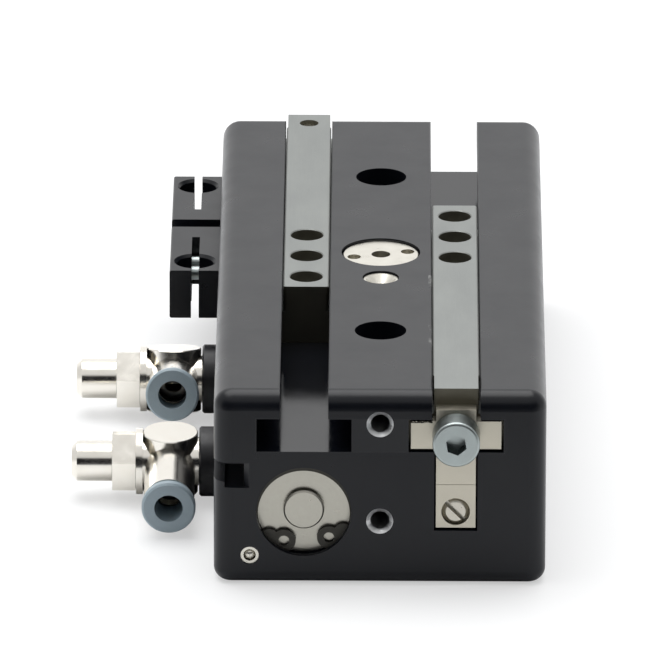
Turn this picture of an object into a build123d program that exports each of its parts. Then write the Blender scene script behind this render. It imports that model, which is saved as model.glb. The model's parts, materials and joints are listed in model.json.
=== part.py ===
from build123d import *
import math
import os

# Two-jaw parallel gripper, pneumatic, with two T-guided jaw bars side by side.
# Units are millimetres. The origin is the middle of the housing's bottom face,
# +X points to the right seen from the front, +Y to the back and +Z up.
# The mechanism is the same turned half round about the vertical: the right jaw is
# driven at the front end, the left jaw at the back end. A depth is measured from the
# end face at which a jaw is driven, towards the other end.

os.makedirs("parts", exist_ok=True)

# Housing block
body_width = 70.0
body_length = 172.0
body_height = 43.0
corner_radius = 3.8
top_edge_radius = 3.8
bottom_edge_radius = 3.0

# Stroke of each jaw, and the lines that everything is set out from
stroke = 55.0
jaw_offset = 16.0

# T-slots for the jaw bars, measured down from the top face
slot_neck_width = 10.2
slot_wing_width = 20.0
slot_neck_depth = 0.13 * body_height
slot_floor_depth = 0.3 * body_height
slot_mouth_chamfer = 0.25

# Clearances
slide_clearance = 0.05
neck_clearance = 0.2
running_clearance = 0.05
thread_clearance = 0.05
piston_clearance = 0.15
driver_clearance = 0.375
seat_gap = 0.1

# Jaw bars
bar_proud = 0.0
bar_end_gap = 3.9
bar_length_right = 111.3
bar_length_left = 108.6
bar_overhang_left = 1.1
bar_corner_radius = 0.8
bar_edge_chamfer = 0.3
finger_hole_count = 3
finger_hole_pitch = 12.8
finger_hole_inset = 6.5
finger_sleeve_radius = 3.5
finger_sleeve_depth = 3.0
finger_thread_radius = 2.1
hole_chamfer = 0.2
relief_length = 8.0
relief_width = 9.3

# Rack on the bars and pinion between them
pitch_radius = 7.0
pinion_teeth = 14
rack_addendum = 0.7
rack_cut_over = 1.0
rack_dedendum = 1.25
pinion_addendum = 0.8
pinion_dedendum = 0.95
pinion_root_share = 0.75
tooth_foot_sink = 0.5
pressure_angle = 20.0
tooth_clearance = 0.2
rack_margin = 6.0
pinion_bore_radius = 8.5
pinion_end_play = 0.3

# Pinion axle with its spanner disc
axle_radius = 3.0
axle_depth_below_pinion = 12.0
disc_radius = 8.2
disc_thickness = 3.4
disc_recess = 0.5
disc_centre_hole_radius = 2.05
disc_centre_hole_depth = 6.0
spanner_hole_radius = 1.45
spanner_hole_spacing = 12.0
spanner_hole_depth = 2.0
spanner_turn = 16.0

# Drivers that join rod and bar
driver_face_depth = 0.6
driver_stem_length = 10.0
driver_wing_width = 19.0
driver_wing_margin = 1.1
driver_neck_width = 8.4
driver_neck_drop = 3.6
stem_slot_width = 9.1
stem_slot_below_rod = 4.1
stem_bottom_gap = 0.5
driver_joint_drop = 20.4
driver_joint_width = 0.12

# Screw through the right driver and pin through the left bar
cap_screw_radius = 3.0
cap_screw_head_radius = 5.0
cap_screw_head_height = 6.0
cap_screw_head_rounding = 0.6
cap_screw_socket_width = 4.0
cap_screw_socket_depth = 3.2
cap_screw_socket_turn = 40.0
cap_screw_length = 20.0
cap_screw_hole_spare = 2.0
pin_radius = 2.0
pin_hole_radius = 2.075
pin_sink = 1.0
pin_from_bar_end = 5.5
pin_above_stud = 2.8
pin_chamfer = 0.25

# Cylinders
cylinder_radius = 10.0
rod_height_share = 0.548
slot_end_wall = 2.0
slot_end_gap = 1.9
rod_radius = 4.0
rod_passage_radius = 4.4
rod_stud_radius = 2.975
rod_stud_chamfer = 0.9
rod_end_slot_width = 0.9
rod_end_slot_depth = 1.5
rod_end_slot_turn = 45.0
guide_length = 12.0
guide_seal_groove = 2.4
piston_length = 15.0
piston_front_gap = 1.0
piston_land_radius = 7.6
seal_width = 2.6
seal_inset = 1.6
cap_recess = 2.6
cap_length = 9.4
cap_boss_radius = 4.3
cap_boss_height = 1.45
cap_boss_chamfer = 0.35
cap_seal_groove = 2.0
circlip_groove_depth = 0.5
circlip_groove_width = 1.1
circlip_thickness = 1.0
circlip_width_top = 1.75
circlip_width_side = 0.8
circlip_turn = 4.7
circlip_ear_radius = 2.5
circlip_ear_hole_radius = 1.15
circlip_ear_reach = 8.3
circlip_ear_angle = 35.0
circlip_lobe_radius = 2.0
circlip_lobe_reach = 9.8
circlip_lobe_angle = 53.0

# Fastening holes of the housing
body_screw_spacing = 95.0
body_screw_shift = -0.3
body_screw_radius = 3.3
body_counterbore_radius = 5.5
body_counterbore_depth = 6.6
centring_radius = 4.5
centring_depth = 2.1
end_thread_radius = 2.1
end_thread_depth = 12.0
end_thread_chamfer_radius = 2.85
end_thread_upper = 6.7
end_thread_lower = 28.5
nipple_shift = -15.5
nipple_radius = 3.65
nipple_seat_radius = 3.9
nipple_seat_depth = 3.0
nipple_stem_radius = 2.0
nipple_stem_length = 6.0
nipple_sink = 0.4
nipple_throat_radius = 0.9
plug_radius = 1.9
plug_offset = 27.4
plug_height = 6.6
plug_length = 4.0
plug_sink = 0.3
plug_bore_radius = 1.3
plug_bore_depth = 3.0
plug_ball_sink = 0.15
plug_ball_gap = 0.02
air_duct_radius = 1.5

# Groove for the sensor brackets, in the left side
groove_mouth_bottom = 23.1
groove_top = 27.4
groove_lip = 2.3
groove_bottom = 21.9
groove_depth = 6.4
groove_end_chamfer = 1.1

# Sensor brackets on the left side
bracket_width = 11.0
bracket_length = 27.5
bracket_height = 11.0
bracket_bottom = 19.3
bracket_front_depth = 108.0
bracket_spacing = 32.1
sensor_bore_radius = 4.0
sensor_bore_chamfer = 0.6
sensor_bore_inset = 6.0
bracket_slot_width = 1.7
bracket_slot_length = 21.0
bracket_edge_radius = 0.5
bracket_screw_radius = 1.5
bracket_screw_head_radius = 2.75
bracket_screw_head_height = 3.0
bracket_screw_socket_width = 2.5
bracket_screw_insets = (12.2, 18.4)
groove_nut_length = 16.0
groove_nut_thickness = 3.4

# Push-in flow control fittings on the left side
fitting_depths = {"front": 51.0, "rear": 100.4}
fitting_tilts = {"front": -2.0, "rear": 13.0}
fitting_height = 8.0
port_radius = 4.8
port_depth = 7.5
base_ring_radius = 7.5
base_ring_width = 3.7
base_ring_chamfer = 0.4
swivel_length = 13.6
swivel_drum_reach = 9.9
swivel_drum_radius = 5.9
swivel_drum_height = 13.7
swivel_collar_radius = 5.2
swivel_flange_radius = 7.1
swivel_flange_length = 1.4
swivel_play = 0.1
hollow_bolt_radius = 4.0
hollow_bolt_waist_radius = 3.1
hollow_bolt_waist_length = 5.0
bolt_hex_width = 12.0
bolt_hex_length = 5.0
bolt_hex_turn = 15.7
throttle_cap_radius = 4.35
throttle_cap_length = 8.6
throttle_cap_chamfer = 1.1
throttle_stem_radius = 2.4
throttle_stem_length = 11.0
throttle_needle_length = 3.0
port_stub_radius = 5.4
port_face_reach = 25.6
release_flange_radius = 5.75
release_flange_length = 2.2
release_flange_chamfer = 0.4
release_travel = 1.0
release_sleeve_radius = 4.2
release_sleeve_length = 6.0
tube_hole_radius = 3.05
tube_seat_depth = 15.0
collet_length = 3.0
collet_radius = 4.45
tube_seal_length = 2.2
inner_duct_radius = 2.0

# Worked out from the sizes above
circlip_outer = cylinder_radius + circlip_groove_depth - slide_clearance
circlip_hollow_radius = (circlip_outer - circlip_width_top) / 2
circlip_hollow_radius += (circlip_outer - circlip_width_side) ** 2 / (circlip_outer - circlip_width_top) / 2
circlip_hollow_drop = circlip_hollow_radius - circlip_outer + circlip_width_top
tooth_pitch = 2 * math.pi * pitch_radius / pinion_teeth
slot_floor = body_height - slot_floor_depth
rod_height = rod_height_share * slot_floor
slot_ledge = body_height - slot_neck_depth
bar_bottom = slot_floor + slide_clearance
bar_shoulder = slot_ledge - slide_clearance
bar_top = body_height + bar_proud
pin_length = bar_top - pin_sink - rod_height - rod_stud_radius - pin_above_stud
bar_wing_width = slot_wing_width - 2 * slide_clearance
bar_neck_width = slot_neck_width - 2 * neck_clearance
wing_middle = (slot_ledge + slot_floor) / 2
driver_wing_height = slot_ledge - slot_floor - driver_wing_margin
stem_floor = rod_height - stem_slot_below_rod
stem_bottom = stem_floor + stem_bottom_gap
stem_width = stem_slot_width - 2 * driver_clearance
stem_slot_length = driver_face_depth + driver_stem_length + stroke + slot_end_gap
stem_slot_length += stem_slot_width / 2
cylinder_end = stem_slot_length + slot_end_wall
piston_start = cylinder_end + guide_length + piston_front_gap
side_wall = body_width / 2
ends = {"front": "right", "back": "left"}


def end_plane(end, depth):
    """Plane at a depth from an end face, seen from outside: local y is up."""
    if end == "front":
        return Plane(origin=(0, depth - body_length / 2, 0), x_dir=(1, 0, 0), z_dir=(0, -1, 0))
    return Plane(origin=(0, body_length / 2 - depth, 0), x_dir=(-1, 0, 0), z_dir=(0, 1, 0))


def top_plane(height):
    """Plane looking down on the gripper."""
    return Plane.XY.offset(height)


def left_plane(depth, reach):
    """Plane on the left side at a depth from the front, a reach out from the wall."""
    origin = (-side_wall - reach, depth - body_length / 2, fitting_height)
    return Plane(origin=origin, x_dir=(0, -1, 0), z_dir=(-1, 0, 0))


def save(piece, label):
    """Name a finished piece and write it."""
    piece.part.label = label
    export_step(piece.part, f"parts/{label}.step")


# Housing


def make_housing():
    """The block with its two T-slots, stem slots, cylinders and holes."""
    with BuildPart() as housing:
        with BuildSketch():
            RectangleRounded(body_width, body_length, corner_radius)
        extrude(amount=body_height)
        fillet(housing.faces().sort_by(Axis.Z)[-1].edges(), radius=top_edge_radius)
        fillet(housing.faces().sort_by(Axis.Z)[0].edges(), radius=bottom_edge_radius)
        for end in ends:
            cut_t_slot(end)
            cut_cylinder(end)
            cut_end_holes(end)
        cut_bracket_groove()
        cut_top_holes()
        cut_air_ports()
    save(housing, "housing")
    return housing


def disc(plane, spot, radius, length, mode=Mode.ADD, taper=0):
    """A round boss or hole on a plane, as part of the piece being built."""
    with BuildSketch(plane) as outline:
        with Locations(spot):
            Circle(radius)
    extrude(outline.sketch, amount=length, taper=taper, mode=mode)


def washer(plane, spot, outer, inner, length, mode=Mode.ADD):
    """A ring or a ring-shaped cut on a plane, as part of the piece being built."""
    with BuildSketch(plane) as outline:
        with Locations(spot):
            Circle(outer)
            Circle(inner, mode=Mode.SUBTRACT)
    extrude(outline.sketch, amount=length, mode=mode)


def cut_t_slot(end):
    """One T-slot through the whole length, and the deep slot for the driver's stem."""
    half_neck = slot_neck_width / 2
    half_wing = slot_wing_width / 2
    mouth = half_neck + slot_mouth_chamfer
    neck_top = body_height - slot_mouth_chamfer
    half_profile = [
        (mouth, body_height),
        (half_neck, neck_top),
        (half_neck, slot_ledge),
        (half_wing, slot_ledge),
        (half_wing, slot_floor),
    ]
    right = [(jaw_offset + x, z) for x, z in half_profile]
    left = [(jaw_offset - x, z) for x, z in reversed(half_profile)]
    with BuildSketch(end_plane(end, 0)) as profile:
        with BuildLine():
            Polyline(*right, *left, close=True)
        make_face()
    extrude(profile.sketch, amount=-body_length, mode=Mode.SUBTRACT)
    middle = stem_slot_length / 2
    side = 1 if end == "front" else -1
    with BuildSketch(top_plane(stem_floor)) as stem_slot:
        with Locations((side * jaw_offset, side * (middle - body_length / 2))):
            Rectangle(stem_slot_width, stem_slot_length)
        inner = side * (stem_slot_length - body_length / 2)
        corners = stem_slot.vertices().filter_by(lambda v: abs(v.Y - inner) < slide_clearance)
        fillet(corners, radius=stem_slot_width / 2 - slide_clearance)
    extrude(stem_slot.sketch, amount=slot_floor - stem_floor, mode=Mode.SUBTRACT)


def cut_cylinder(end):
    """Bore for the piston from the far end, rod passage, and retaining ring groove."""
    far = "back" if end == "front" else "front"
    spot = (-jaw_offset, rod_height)
    disc(end_plane(far, 0), spot, cylinder_radius, cylinder_end - body_length, Mode.SUBTRACT)
    groove = end_plane(far, cap_recess - circlip_groove_width)
    groove_radius = cylinder_radius + circlip_groove_depth
    disc(groove, spot, groove_radius, -circlip_groove_width, Mode.SUBTRACT)
    passage_length = cylinder_end + slide_clearance - stem_slot_length / 2
    passage = end_plane(end, stem_slot_length / 2)
    disc(passage, (jaw_offset, rod_height), rod_passage_radius, -passage_length, Mode.SUBTRACT)


def cut_end_holes(end):
    """Two tapped holes and the plugged air duct in an end face."""
    face = end_plane(end, 0)
    sink = end_thread_chamfer_radius - end_thread_radius
    for drop in (end_thread_upper, end_thread_lower):
        spot = (0, body_height - drop)
        disc(face, spot, end_thread_radius, -end_thread_depth, Mode.SUBTRACT)
        disc(face, spot, end_thread_chamfer_radius, -sink, Mode.SUBTRACT, taper=45)
    spot = (-plug_offset, plug_height)
    disc(face, spot, plug_radius + thread_clearance, -plug_length, Mode.SUBTRACT)
    disc(face, spot, air_duct_radius, -fitting_depths["front"], Mode.SUBTRACT)


def cut_bracket_groove():
    """Hooked groove along the left side, with its lip below and a chamfered front end."""
    wall = -side_wall
    with BuildSketch(end_plane("front", 0)) as profile:
        with BuildLine():
            Polyline(
                (wall, groove_mouth_bottom),
                (wall + groove_lip, groove_mouth_bottom),
                (wall + groove_lip, groove_bottom),
                (wall + groove_depth, groove_bottom),
                (wall + groove_depth, groove_top),
                (wall, groove_top),
                close=True,
            )
        make_face()
    extrude(profile.sketch, amount=-body_length, mode=Mode.SUBTRACT)
    inner = wall + groove_depth
    front = -body_length / 2
    with BuildSketch(top_plane(groove_bottom)) as bevel:
        with BuildLine():
            Polyline(
                (inner - seat_gap, front),
                (inner + groove_end_chamfer, front),
                (inner - seat_gap, front + groove_end_chamfer + seat_gap),
                close=True,
            )
        make_face()
    extrude(bevel.sketch, amount=groove_top - groove_bottom, mode=Mode.SUBTRACT)


def cut_top_holes():
    """Fastening screws, pinion, axle and grease nipple, all from above."""
    top = top_plane(body_height)
    for way in (-1, 1):
        spot = (0, body_screw_shift + way * body_screw_spacing / 2)
        disc(top, spot, body_screw_radius, -body_height, Mode.SUBTRACT)
        disc(top, spot, body_counterbore_radius, -body_counterbore_depth, Mode.SUBTRACT)
        disc(top_plane(0), spot, centring_radius, centring_depth, Mode.SUBTRACT)
    centre = (0, 0)
    disc(top, centre, pinion_bore_radius, -slot_floor_depth, Mode.SUBTRACT)
    axle_hole = axle_radius + slide_clearance
    disc(top_plane(slot_floor), centre, axle_hole, -axle_depth_below_pinion, Mode.SUBTRACT)
    spot = (0, nipple_shift)
    disc(top, spot, nipple_seat_radius, -nipple_seat_depth, Mode.SUBTRACT)
    stem_hole = nipple_stem_radius + thread_clearance
    disc(top, spot, stem_hole, -(nipple_seat_depth + nipple_stem_length), Mode.SUBTRACT)


def cut_air_ports():
    """Threaded ports for the two fittings in the left side."""
    for depth in fitting_depths.values():
        face = left_plane(depth, 0)
        disc(face, (0, 0), port_radius + thread_clearance, -port_depth, Mode.SUBTRACT)


# Jaw bars and their rack


def rack_gap():
    """Profile of one gap of the rack, its pitch line on local x = 0."""
    lean = math.tan(math.radians(pressure_angle))
    half = tooth_pitch / 4 + tooth_clearance / 2
    reach = rack_addendum + rack_cut_over
    tip = half + reach * lean
    root = half - rack_dedendum * lean
    with BuildSketch() as gap:
        with BuildLine():
            Polyline(
                (-reach, -tip),
                (rack_dedendum, -root),
                (rack_dedendum, root),
                (-reach, tip),
                close=True,
            )
        make_face()
    return gap.sketch


def bar_profile():
    """Corners of a bar's T-shaped section, seen from the end at which it is driven."""
    half_neck = bar_neck_width / 2
    half_wing = bar_wing_width / 2
    half_profile = [
        (half_wing, bar_bottom),
        (half_wing, bar_shoulder),
        (half_neck, bar_shoulder),
        (half_neck, bar_top - bar_edge_chamfer),
        (half_neck - bar_edge_chamfer, bar_top),
    ]
    right = [(jaw_offset + x, z) for x, z in half_profile]
    left = [(jaw_offset - x, z) for x, z in reversed(half_profile)]
    return right + left


def make_jaw_bar(end, bar_start, bar_length, label, pinned):
    """A T-shaped bar with rack teeth on its inner wing and a row of finger holes."""
    side = 1 if end == "front" else -1
    far = bar_start + bar_length
    middle = body_length / 2
    with BuildPart() as bar:
        with BuildSketch(end_plane(end, bar_start)):
            with BuildLine():
                Polyline(*bar_profile(), close=True)
            make_face()
        extrude(amount=-bar_length)
        corners = bar.edges().filter_by(Axis.Z).sort_by(Axis.Y, reverse=(side < 0))
        fillet(corners[-4:], radius=bar_corner_radius)
        reach_back = middle - stroke - rack_margin
        count = math.ceil((stroke + 2 * rack_margin) / tooth_pitch)
        first = -side * math.floor((middle - reach_back) / tooth_pitch) * tooth_pitch
        spots = [(side * pitch_radius, first + side * n * tooth_pitch) for n in range(count + 1)]
        turn = 0 if side > 0 else 180
        with BuildSketch(top_plane(bar_bottom)):
            with Locations(*[Location((x, y, 0), (0, 0, turn)) for x, y in spots]):
                add(rack_gap())
        extrude(amount=bar_shoulder - bar_bottom, mode=Mode.SUBTRACT)
        with Locations(top_plane(bar_top)):
            with Locations(*finger_hole_spots(side, far)):
                CounterBoreHole(finger_thread_radius, finger_sleeve_radius, finger_sleeve_depth)
        rims = bar.edges().filter_by(GeomType.CIRCLE).group_by(Axis.Z)[-1]
        chamfer(rims.sort_by(SortBy.RADIUS)[-finger_hole_count:], hole_chamfer)
        relieve_bar_end(end, bar_start)
        if pinned:
            pin_y = side * (bar_start + pin_from_bar_end - body_length / 2)
            spot = (side * jaw_offset, pin_y)
            disc(top_plane(bar_top), spot, pin_hole_radius, bar_bottom - bar_top, Mode.SUBTRACT)
        else:
            screw_hole = cap_screw_radius + thread_clearance
            with BuildSketch(end_plane(end, bar_start)):
                with Locations((jaw_offset, wing_middle)):
                    Circle(screw_hole)
            hole_depth = cap_screw_length + driver_face_depth - bar_end_gap + cap_screw_hole_spare
            extrude(amount=-hole_depth, mode=Mode.SUBTRACT)
    save(bar, label)
    return bar


def finger_hole_spots(side, far):
    """Places of the three finger holes in plan."""
    depths = [far - finger_hole_inset - n * finger_hole_pitch for n in range(finger_hole_count)]
    return [(side * jaw_offset, side * (depth - body_length / 2)) for depth in depths]


def relieve_bar_end(end, bar_start):
    """Slightly narrower neck at the driven end of a bar."""
    cheek = (bar_neck_width - relief_width) / 2
    height = bar_top - bar_shoulder
    cheek_middle = (bar_neck_width - cheek) / 2
    with BuildSketch(end_plane(end, bar_start)) as cheeks:
        for edge in (-1, 1):
            with Locations((jaw_offset + edge * cheek_middle, bar_shoulder + height / 2)):
                Rectangle(cheek, height)
    extrude(cheeks.sketch, amount=-relief_length, mode=Mode.SUBTRACT)


# Drivers, screw and pin


def make_driver_right():
    """The T-shaped plate in front of the right bar, with the stem down to the rod."""
    plate_thickness = bar_end_gap - driver_face_depth
    neck_top = body_height - driver_neck_drop
    stem_top = bar_bottom - seat_gap
    with BuildPart() as driver:
        with BuildSketch(end_plane("front", driver_face_depth)):
            with Locations((jaw_offset, wing_middle)):
                Rectangle(driver_wing_width, driver_wing_height)
            with Locations((jaw_offset, (neck_top + wing_middle) / 2)):
                Rectangle(driver_neck_width, neck_top - wing_middle)
            with Locations((jaw_offset, (wing_middle + stem_bottom) / 2)):
                Rectangle(stem_width, wing_middle - stem_bottom)
        extrude(amount=-plate_thickness)
        with BuildSketch(end_plane("front", driver_face_depth)):
            with Locations((jaw_offset, (stem_top + stem_bottom) / 2)):
                Rectangle(stem_width, stem_top - stem_bottom)
        extrude(amount=-driver_stem_length)
        with BuildSketch(end_plane("front", driver_face_depth)):
            with Locations((jaw_offset, wing_middle)):
                Circle(cap_screw_radius + thread_clearance)
        extrude(amount=-plate_thickness, mode=Mode.SUBTRACT)
        with BuildSketch(end_plane("front", driver_face_depth)):
            with Locations((jaw_offset, rod_height)):
                Circle(rod_stud_radius + thread_clearance)
        extrude(amount=-driver_stem_length, mode=Mode.SUBTRACT)
        with BuildSketch(end_plane("front", driver_face_depth)):
            with Locations((jaw_offset, body_height - driver_joint_drop)):
                Rectangle(stem_width, driver_joint_width)
        extrude(amount=-driver_joint_width, mode=Mode.SUBTRACT)
    save(driver, "driver_right")
    return driver


def make_driver_left():
    """The block under the left bar's end that joins it to its rod."""
    stem_top = bar_bottom
    pin_depth = pin_from_bar_end - bar_overhang_left
    pin_depth_in_driver = pin_length - (bar_top - pin_sink - stem_top)
    with BuildPart() as driver:
        with BuildSketch(end_plane("back", driver_face_depth)):
            with Locations((jaw_offset, (stem_top + stem_bottom) / 2)):
                Rectangle(stem_width, stem_top - stem_bottom)
        extrude(amount=-driver_stem_length)
        with BuildSketch(end_plane("back", driver_face_depth)):
            with Locations((jaw_offset, rod_height)):
                Circle(rod_stud_radius + thread_clearance)
        extrude(amount=-driver_stem_length, mode=Mode.SUBTRACT)
        with BuildSketch(top_plane(stem_top)):
            with Locations((-jaw_offset, body_length / 2 - pin_depth)):
                Circle(pin_hole_radius)
        extrude(amount=-pin_depth_in_driver, mode=Mode.SUBTRACT)
    save(driver, "driver_left")
    return driver


def make_cap_screw():
    """Socket cap screw that holds the right driver to its bar."""
    with BuildPart() as screw:
        with BuildSketch(end_plane("front", driver_face_depth)):
            with Locations((jaw_offset, wing_middle)):
                Circle(cap_screw_head_radius)
        extrude(amount=cap_screw_head_height)
        rim = screw.edges().filter_by(GeomType.CIRCLE).sort_by(Axis.Y)[0]
        fillet(rim, radius=cap_screw_head_rounding)
        with BuildSketch(end_plane("front", driver_face_depth)):
            with Locations((jaw_offset, wing_middle)):
                Circle(cap_screw_radius)
        extrude(amount=-cap_screw_length)
        with BuildSketch(end_plane("front", driver_face_depth - cap_screw_head_height)):
            with Locations((jaw_offset, wing_middle)):
                RegularPolygon(
                    cap_screw_socket_width / 2, 6, major_radius=False, rotation=cap_screw_socket_turn
                )
        extrude(amount=-cap_screw_socket_depth, mode=Mode.SUBTRACT)
    save(screw, "driver_screw")
    return screw


def make_pin():
    """Dowel pin that holds the left driver to its bar."""
    pin_y = body_length / 2 + bar_overhang_left - pin_from_bar_end
    with BuildPart() as pin:
        with BuildSketch(top_plane(bar_top - pin_sink)):
            with Locations((-jaw_offset, pin_y)):
                Circle(pin_radius)
        extrude(amount=-pin_length)
        chamfer(pin.edges().filter_by(GeomType.CIRCLE), length=pin_chamfer)
    save(pin, "driver_pin")
    return pin


# Rods, pistons, guides, caps and rings


def make_rod(end, side):
    """Piston rod with a slotted stud through the driver and a stud in the piston."""
    shoulder = driver_face_depth + driver_stem_length
    spot = (jaw_offset, rod_height)
    with BuildPart() as rod:
        with BuildSketch(end_plane(end, shoulder)):
            with Locations(spot):
                Circle(rod_radius)
        extrude(amount=-(piston_start - shoulder))
        with BuildSketch(end_plane(end, driver_face_depth)):
            with Locations(spot):
                Circle(rod_stud_radius)
        extrude(amount=-(piston_start + piston_length - driver_face_depth))
        outermost = rod.edges().filter_by(GeomType.CIRCLE).sort_by(Axis.Y, reverse=(end == "back"))[0]
        chamfer(outermost, length=rod_stud_chamfer)
        with BuildSketch(end_plane(end, driver_face_depth)):
            with Locations(Location((jaw_offset, rod_height, 0), (0, 0, -rod_end_slot_turn))):
                Rectangle(2 * rod_stud_radius, rod_end_slot_width)
        extrude(amount=-rod_end_slot_depth, mode=Mode.SUBTRACT)
    save(rod, f"piston_rod_{side}")
    return rod


def ring(end, depth, length, outer, inner, spot):
    """A plain ring along the cylinder, added to the part being built."""
    washer(end_plane(end, depth), spot, outer, inner, -length)


def make_piston(end, side):
    """Piston with two seal grooves."""
    spot = (jaw_offset, rod_height)
    outer = cylinder_radius - piston_clearance
    with BuildPart() as piston:
        ring(end, piston_start, piston_length, outer, rod_stud_radius + thread_clearance, spot)
        for start in seal_starts():
            with BuildSketch(end_plane(end, start)):
                with Locations(spot):
                    Circle(outer)
                    Circle(piston_land_radius, mode=Mode.SUBTRACT)
            extrude(amount=-seal_width, mode=Mode.SUBTRACT)
    save(piston, f"piston_{side}")
    with BuildPart() as seals:
        for start in seal_starts():
            ring(end, start, seal_width, cylinder_radius - running_clearance, piston_land_radius, spot)
    save(seals, f"piston_seals_{side}")


def seal_starts():
    """Depths at which the two piston seals start."""
    return (
        piston_start + seal_inset,
        piston_start + piston_length - seal_inset - seal_width,
    )


def make_rod_guide(end, side):
    """Bush that carries the rod at the cylinder's inner end, and its rod seal."""
    spot = (jaw_offset, rod_height)
    outer = cylinder_radius - slide_clearance
    bore = rod_radius + running_clearance
    groove = rod_radius + guide_seal_groove
    seal_start = cylinder_end + guide_length - guide_seal_groove
    with BuildPart() as guide:
        ring(end, cylinder_end, guide_length, outer, bore, spot)
        with BuildSketch(end_plane(end, seal_start)):
            with Locations(spot):
                Circle(groove)
        extrude(amount=-guide_seal_groove, mode=Mode.SUBTRACT)
    save(guide, f"rod_guide_{side}")
    with BuildPart() as seal:
        ring(end, seal_start, guide_seal_groove, groove, bore, spot)
    save(seal, f"rod_seal_{side}")


def make_cylinder_cap(end, side):
    """Cap with its boss that closes the cylinder at the far end, and its seal."""
    far = "back" if end == "front" else "front"
    spot = (-jaw_offset, rod_height)
    outer = cylinder_radius - slide_clearance
    seal_start = cap_recess + (cap_length - cap_seal_groove) / 2
    with BuildPart() as cap:
        with BuildSketch(end_plane(far, cap_recess)):
            with Locations(spot):
                Circle(outer)
        extrude(amount=-cap_length)
        with BuildSketch(end_plane(far, cap_recess)):
            with Locations(spot):
                Circle(cap_boss_radius)
        extrude(amount=cap_boss_height)
        boss_rim = cap.edges().filter_by(GeomType.CIRCLE).sort_by(Axis.Y, reverse=(far == "back"))[0]
        chamfer(boss_rim, length=cap_boss_chamfer)
        with BuildSketch(end_plane(far, seal_start)):
            with Locations(spot):
                Circle(outer)
                Circle(outer - cap_seal_groove, mode=Mode.SUBTRACT)
        extrude(amount=-cap_seal_groove, mode=Mode.SUBTRACT)
    save(cap, f"cylinder_cap_{side}")
    with BuildPart() as seal:
        ring(far, seal_start, cap_seal_groove, outer, outer - cap_seal_groove, spot)
    save(seal, f"cap_seal_{side}")


def circlip_spot(reach, angle):
    """Place on the retaining ring at an angle from straight down."""
    turn = math.radians(circlip_turn - 90 + angle)
    return (reach * math.cos(turn), reach * math.sin(turn))


def make_circlip(end, side):
    """Internal retaining ring: broad at the top, thin at the sides, with two eared ends."""
    far = "back" if end == "front" else "front"
    face = end_plane(far, cap_recess - circlip_thickness)
    ears = [circlip_spot(circlip_ear_reach, way * circlip_ear_angle) for way in (-1, 1)]
    lobes = [circlip_spot(circlip_lobe_reach, way * circlip_lobe_angle) for way in (-1, 1)]
    with BuildSketch() as outline:
        Circle(circlip_outer)
        with Locations((0, -circlip_hollow_drop)):
            Circle(circlip_hollow_radius, mode=Mode.SUBTRACT)
        with Locations(*ears):
            Circle(circlip_ear_radius)
        with Locations(*lobes):
            Circle(circlip_lobe_radius)
        Circle(circlip_outer, mode=Mode.INTERSECT)
        with Locations(*ears):
            Circle(circlip_ear_hole_radius, mode=Mode.SUBTRACT)
    with BuildPart() as circlip:
        with BuildSketch(face):
            with Locations((-jaw_offset, rod_height)):
                add(outline.sketch)
        extrude(amount=-circlip_thickness)
    save(circlip, f"circlip_{side}")


# Pinion, axle, nipple and plugs


def make_pinion():
    """Spur gear that keeps the two jaws level with each other."""
    thickness = bar_shoulder - bar_bottom - 2 * pinion_end_play
    tip = pitch_radius + pinion_addendum
    root = pitch_radius - pinion_dedendum
    half = math.degrees(tooth_pitch / 4 / pitch_radius)
    play = math.degrees(tooth_clearance / 4 / pitch_radius)
    lean = math.degrees(math.tan(math.radians(pressure_angle)) / pitch_radius)
    tip_half = half - play - lean * pinion_addendum
    root_half = half - play + lean * pinion_dedendum * pinion_root_share

    def polar(radius, angle):
        return (radius * math.cos(math.radians(angle)), radius * math.sin(math.radians(angle)))

    with BuildPart() as pinion:
        with BuildSketch(top_plane(bar_bottom + pinion_end_play)):
            Circle(root)
            for tooth in range(pinion_teeth):
                middle = tooth * 360 / pinion_teeth
                with BuildLine():
                    Polyline(
                        polar(root - tooth_foot_sink, middle - root_half),
                        polar(root, middle - root_half),
                        polar(pitch_radius, middle - half + play),
                        polar(tip, middle - tip_half),
                        polar(tip, middle + tip_half),
                        polar(pitch_radius, middle + half - play),
                        polar(root, middle + root_half),
                        polar(root - tooth_foot_sink, middle + root_half),
                        close=True,
                    )
                make_face()
            Circle(axle_radius + running_clearance, mode=Mode.SUBTRACT)
        extrude(amount=thickness)
    save(pinion, "sync_pinion")


def make_axle():
    """Fixed axle of the pinion, with a disc on top that has two spanner holes."""
    disc_top = body_height - disc_recess
    bottom = slot_floor - axle_depth_below_pinion
    with BuildPart() as axle:
        with BuildSketch(top_plane(bottom)):
            Circle(axle_radius)
        extrude(amount=disc_top - disc_thickness - bottom)
        with BuildSketch(top_plane(disc_top - disc_thickness)):
            Circle(disc_radius)
        extrude(amount=disc_thickness)
        chamfer(axle.edges().filter_by(GeomType.CIRCLE).sort_by(Axis.Z)[-1], length=hole_chamfer)
        with BuildSketch(top_plane(disc_top)):
            Circle(disc_centre_hole_radius)
        extrude(amount=-disc_centre_hole_depth, mode=Mode.SUBTRACT)
        with BuildSketch(top_plane(disc_top)):
            with PolarLocations(spanner_hole_spacing / 2, 2, start_angle=spanner_turn):
                Circle(spanner_hole_radius)
        extrude(amount=-spanner_hole_depth, mode=Mode.SUBTRACT)
    save(axle, "pinion_axle")


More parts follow.
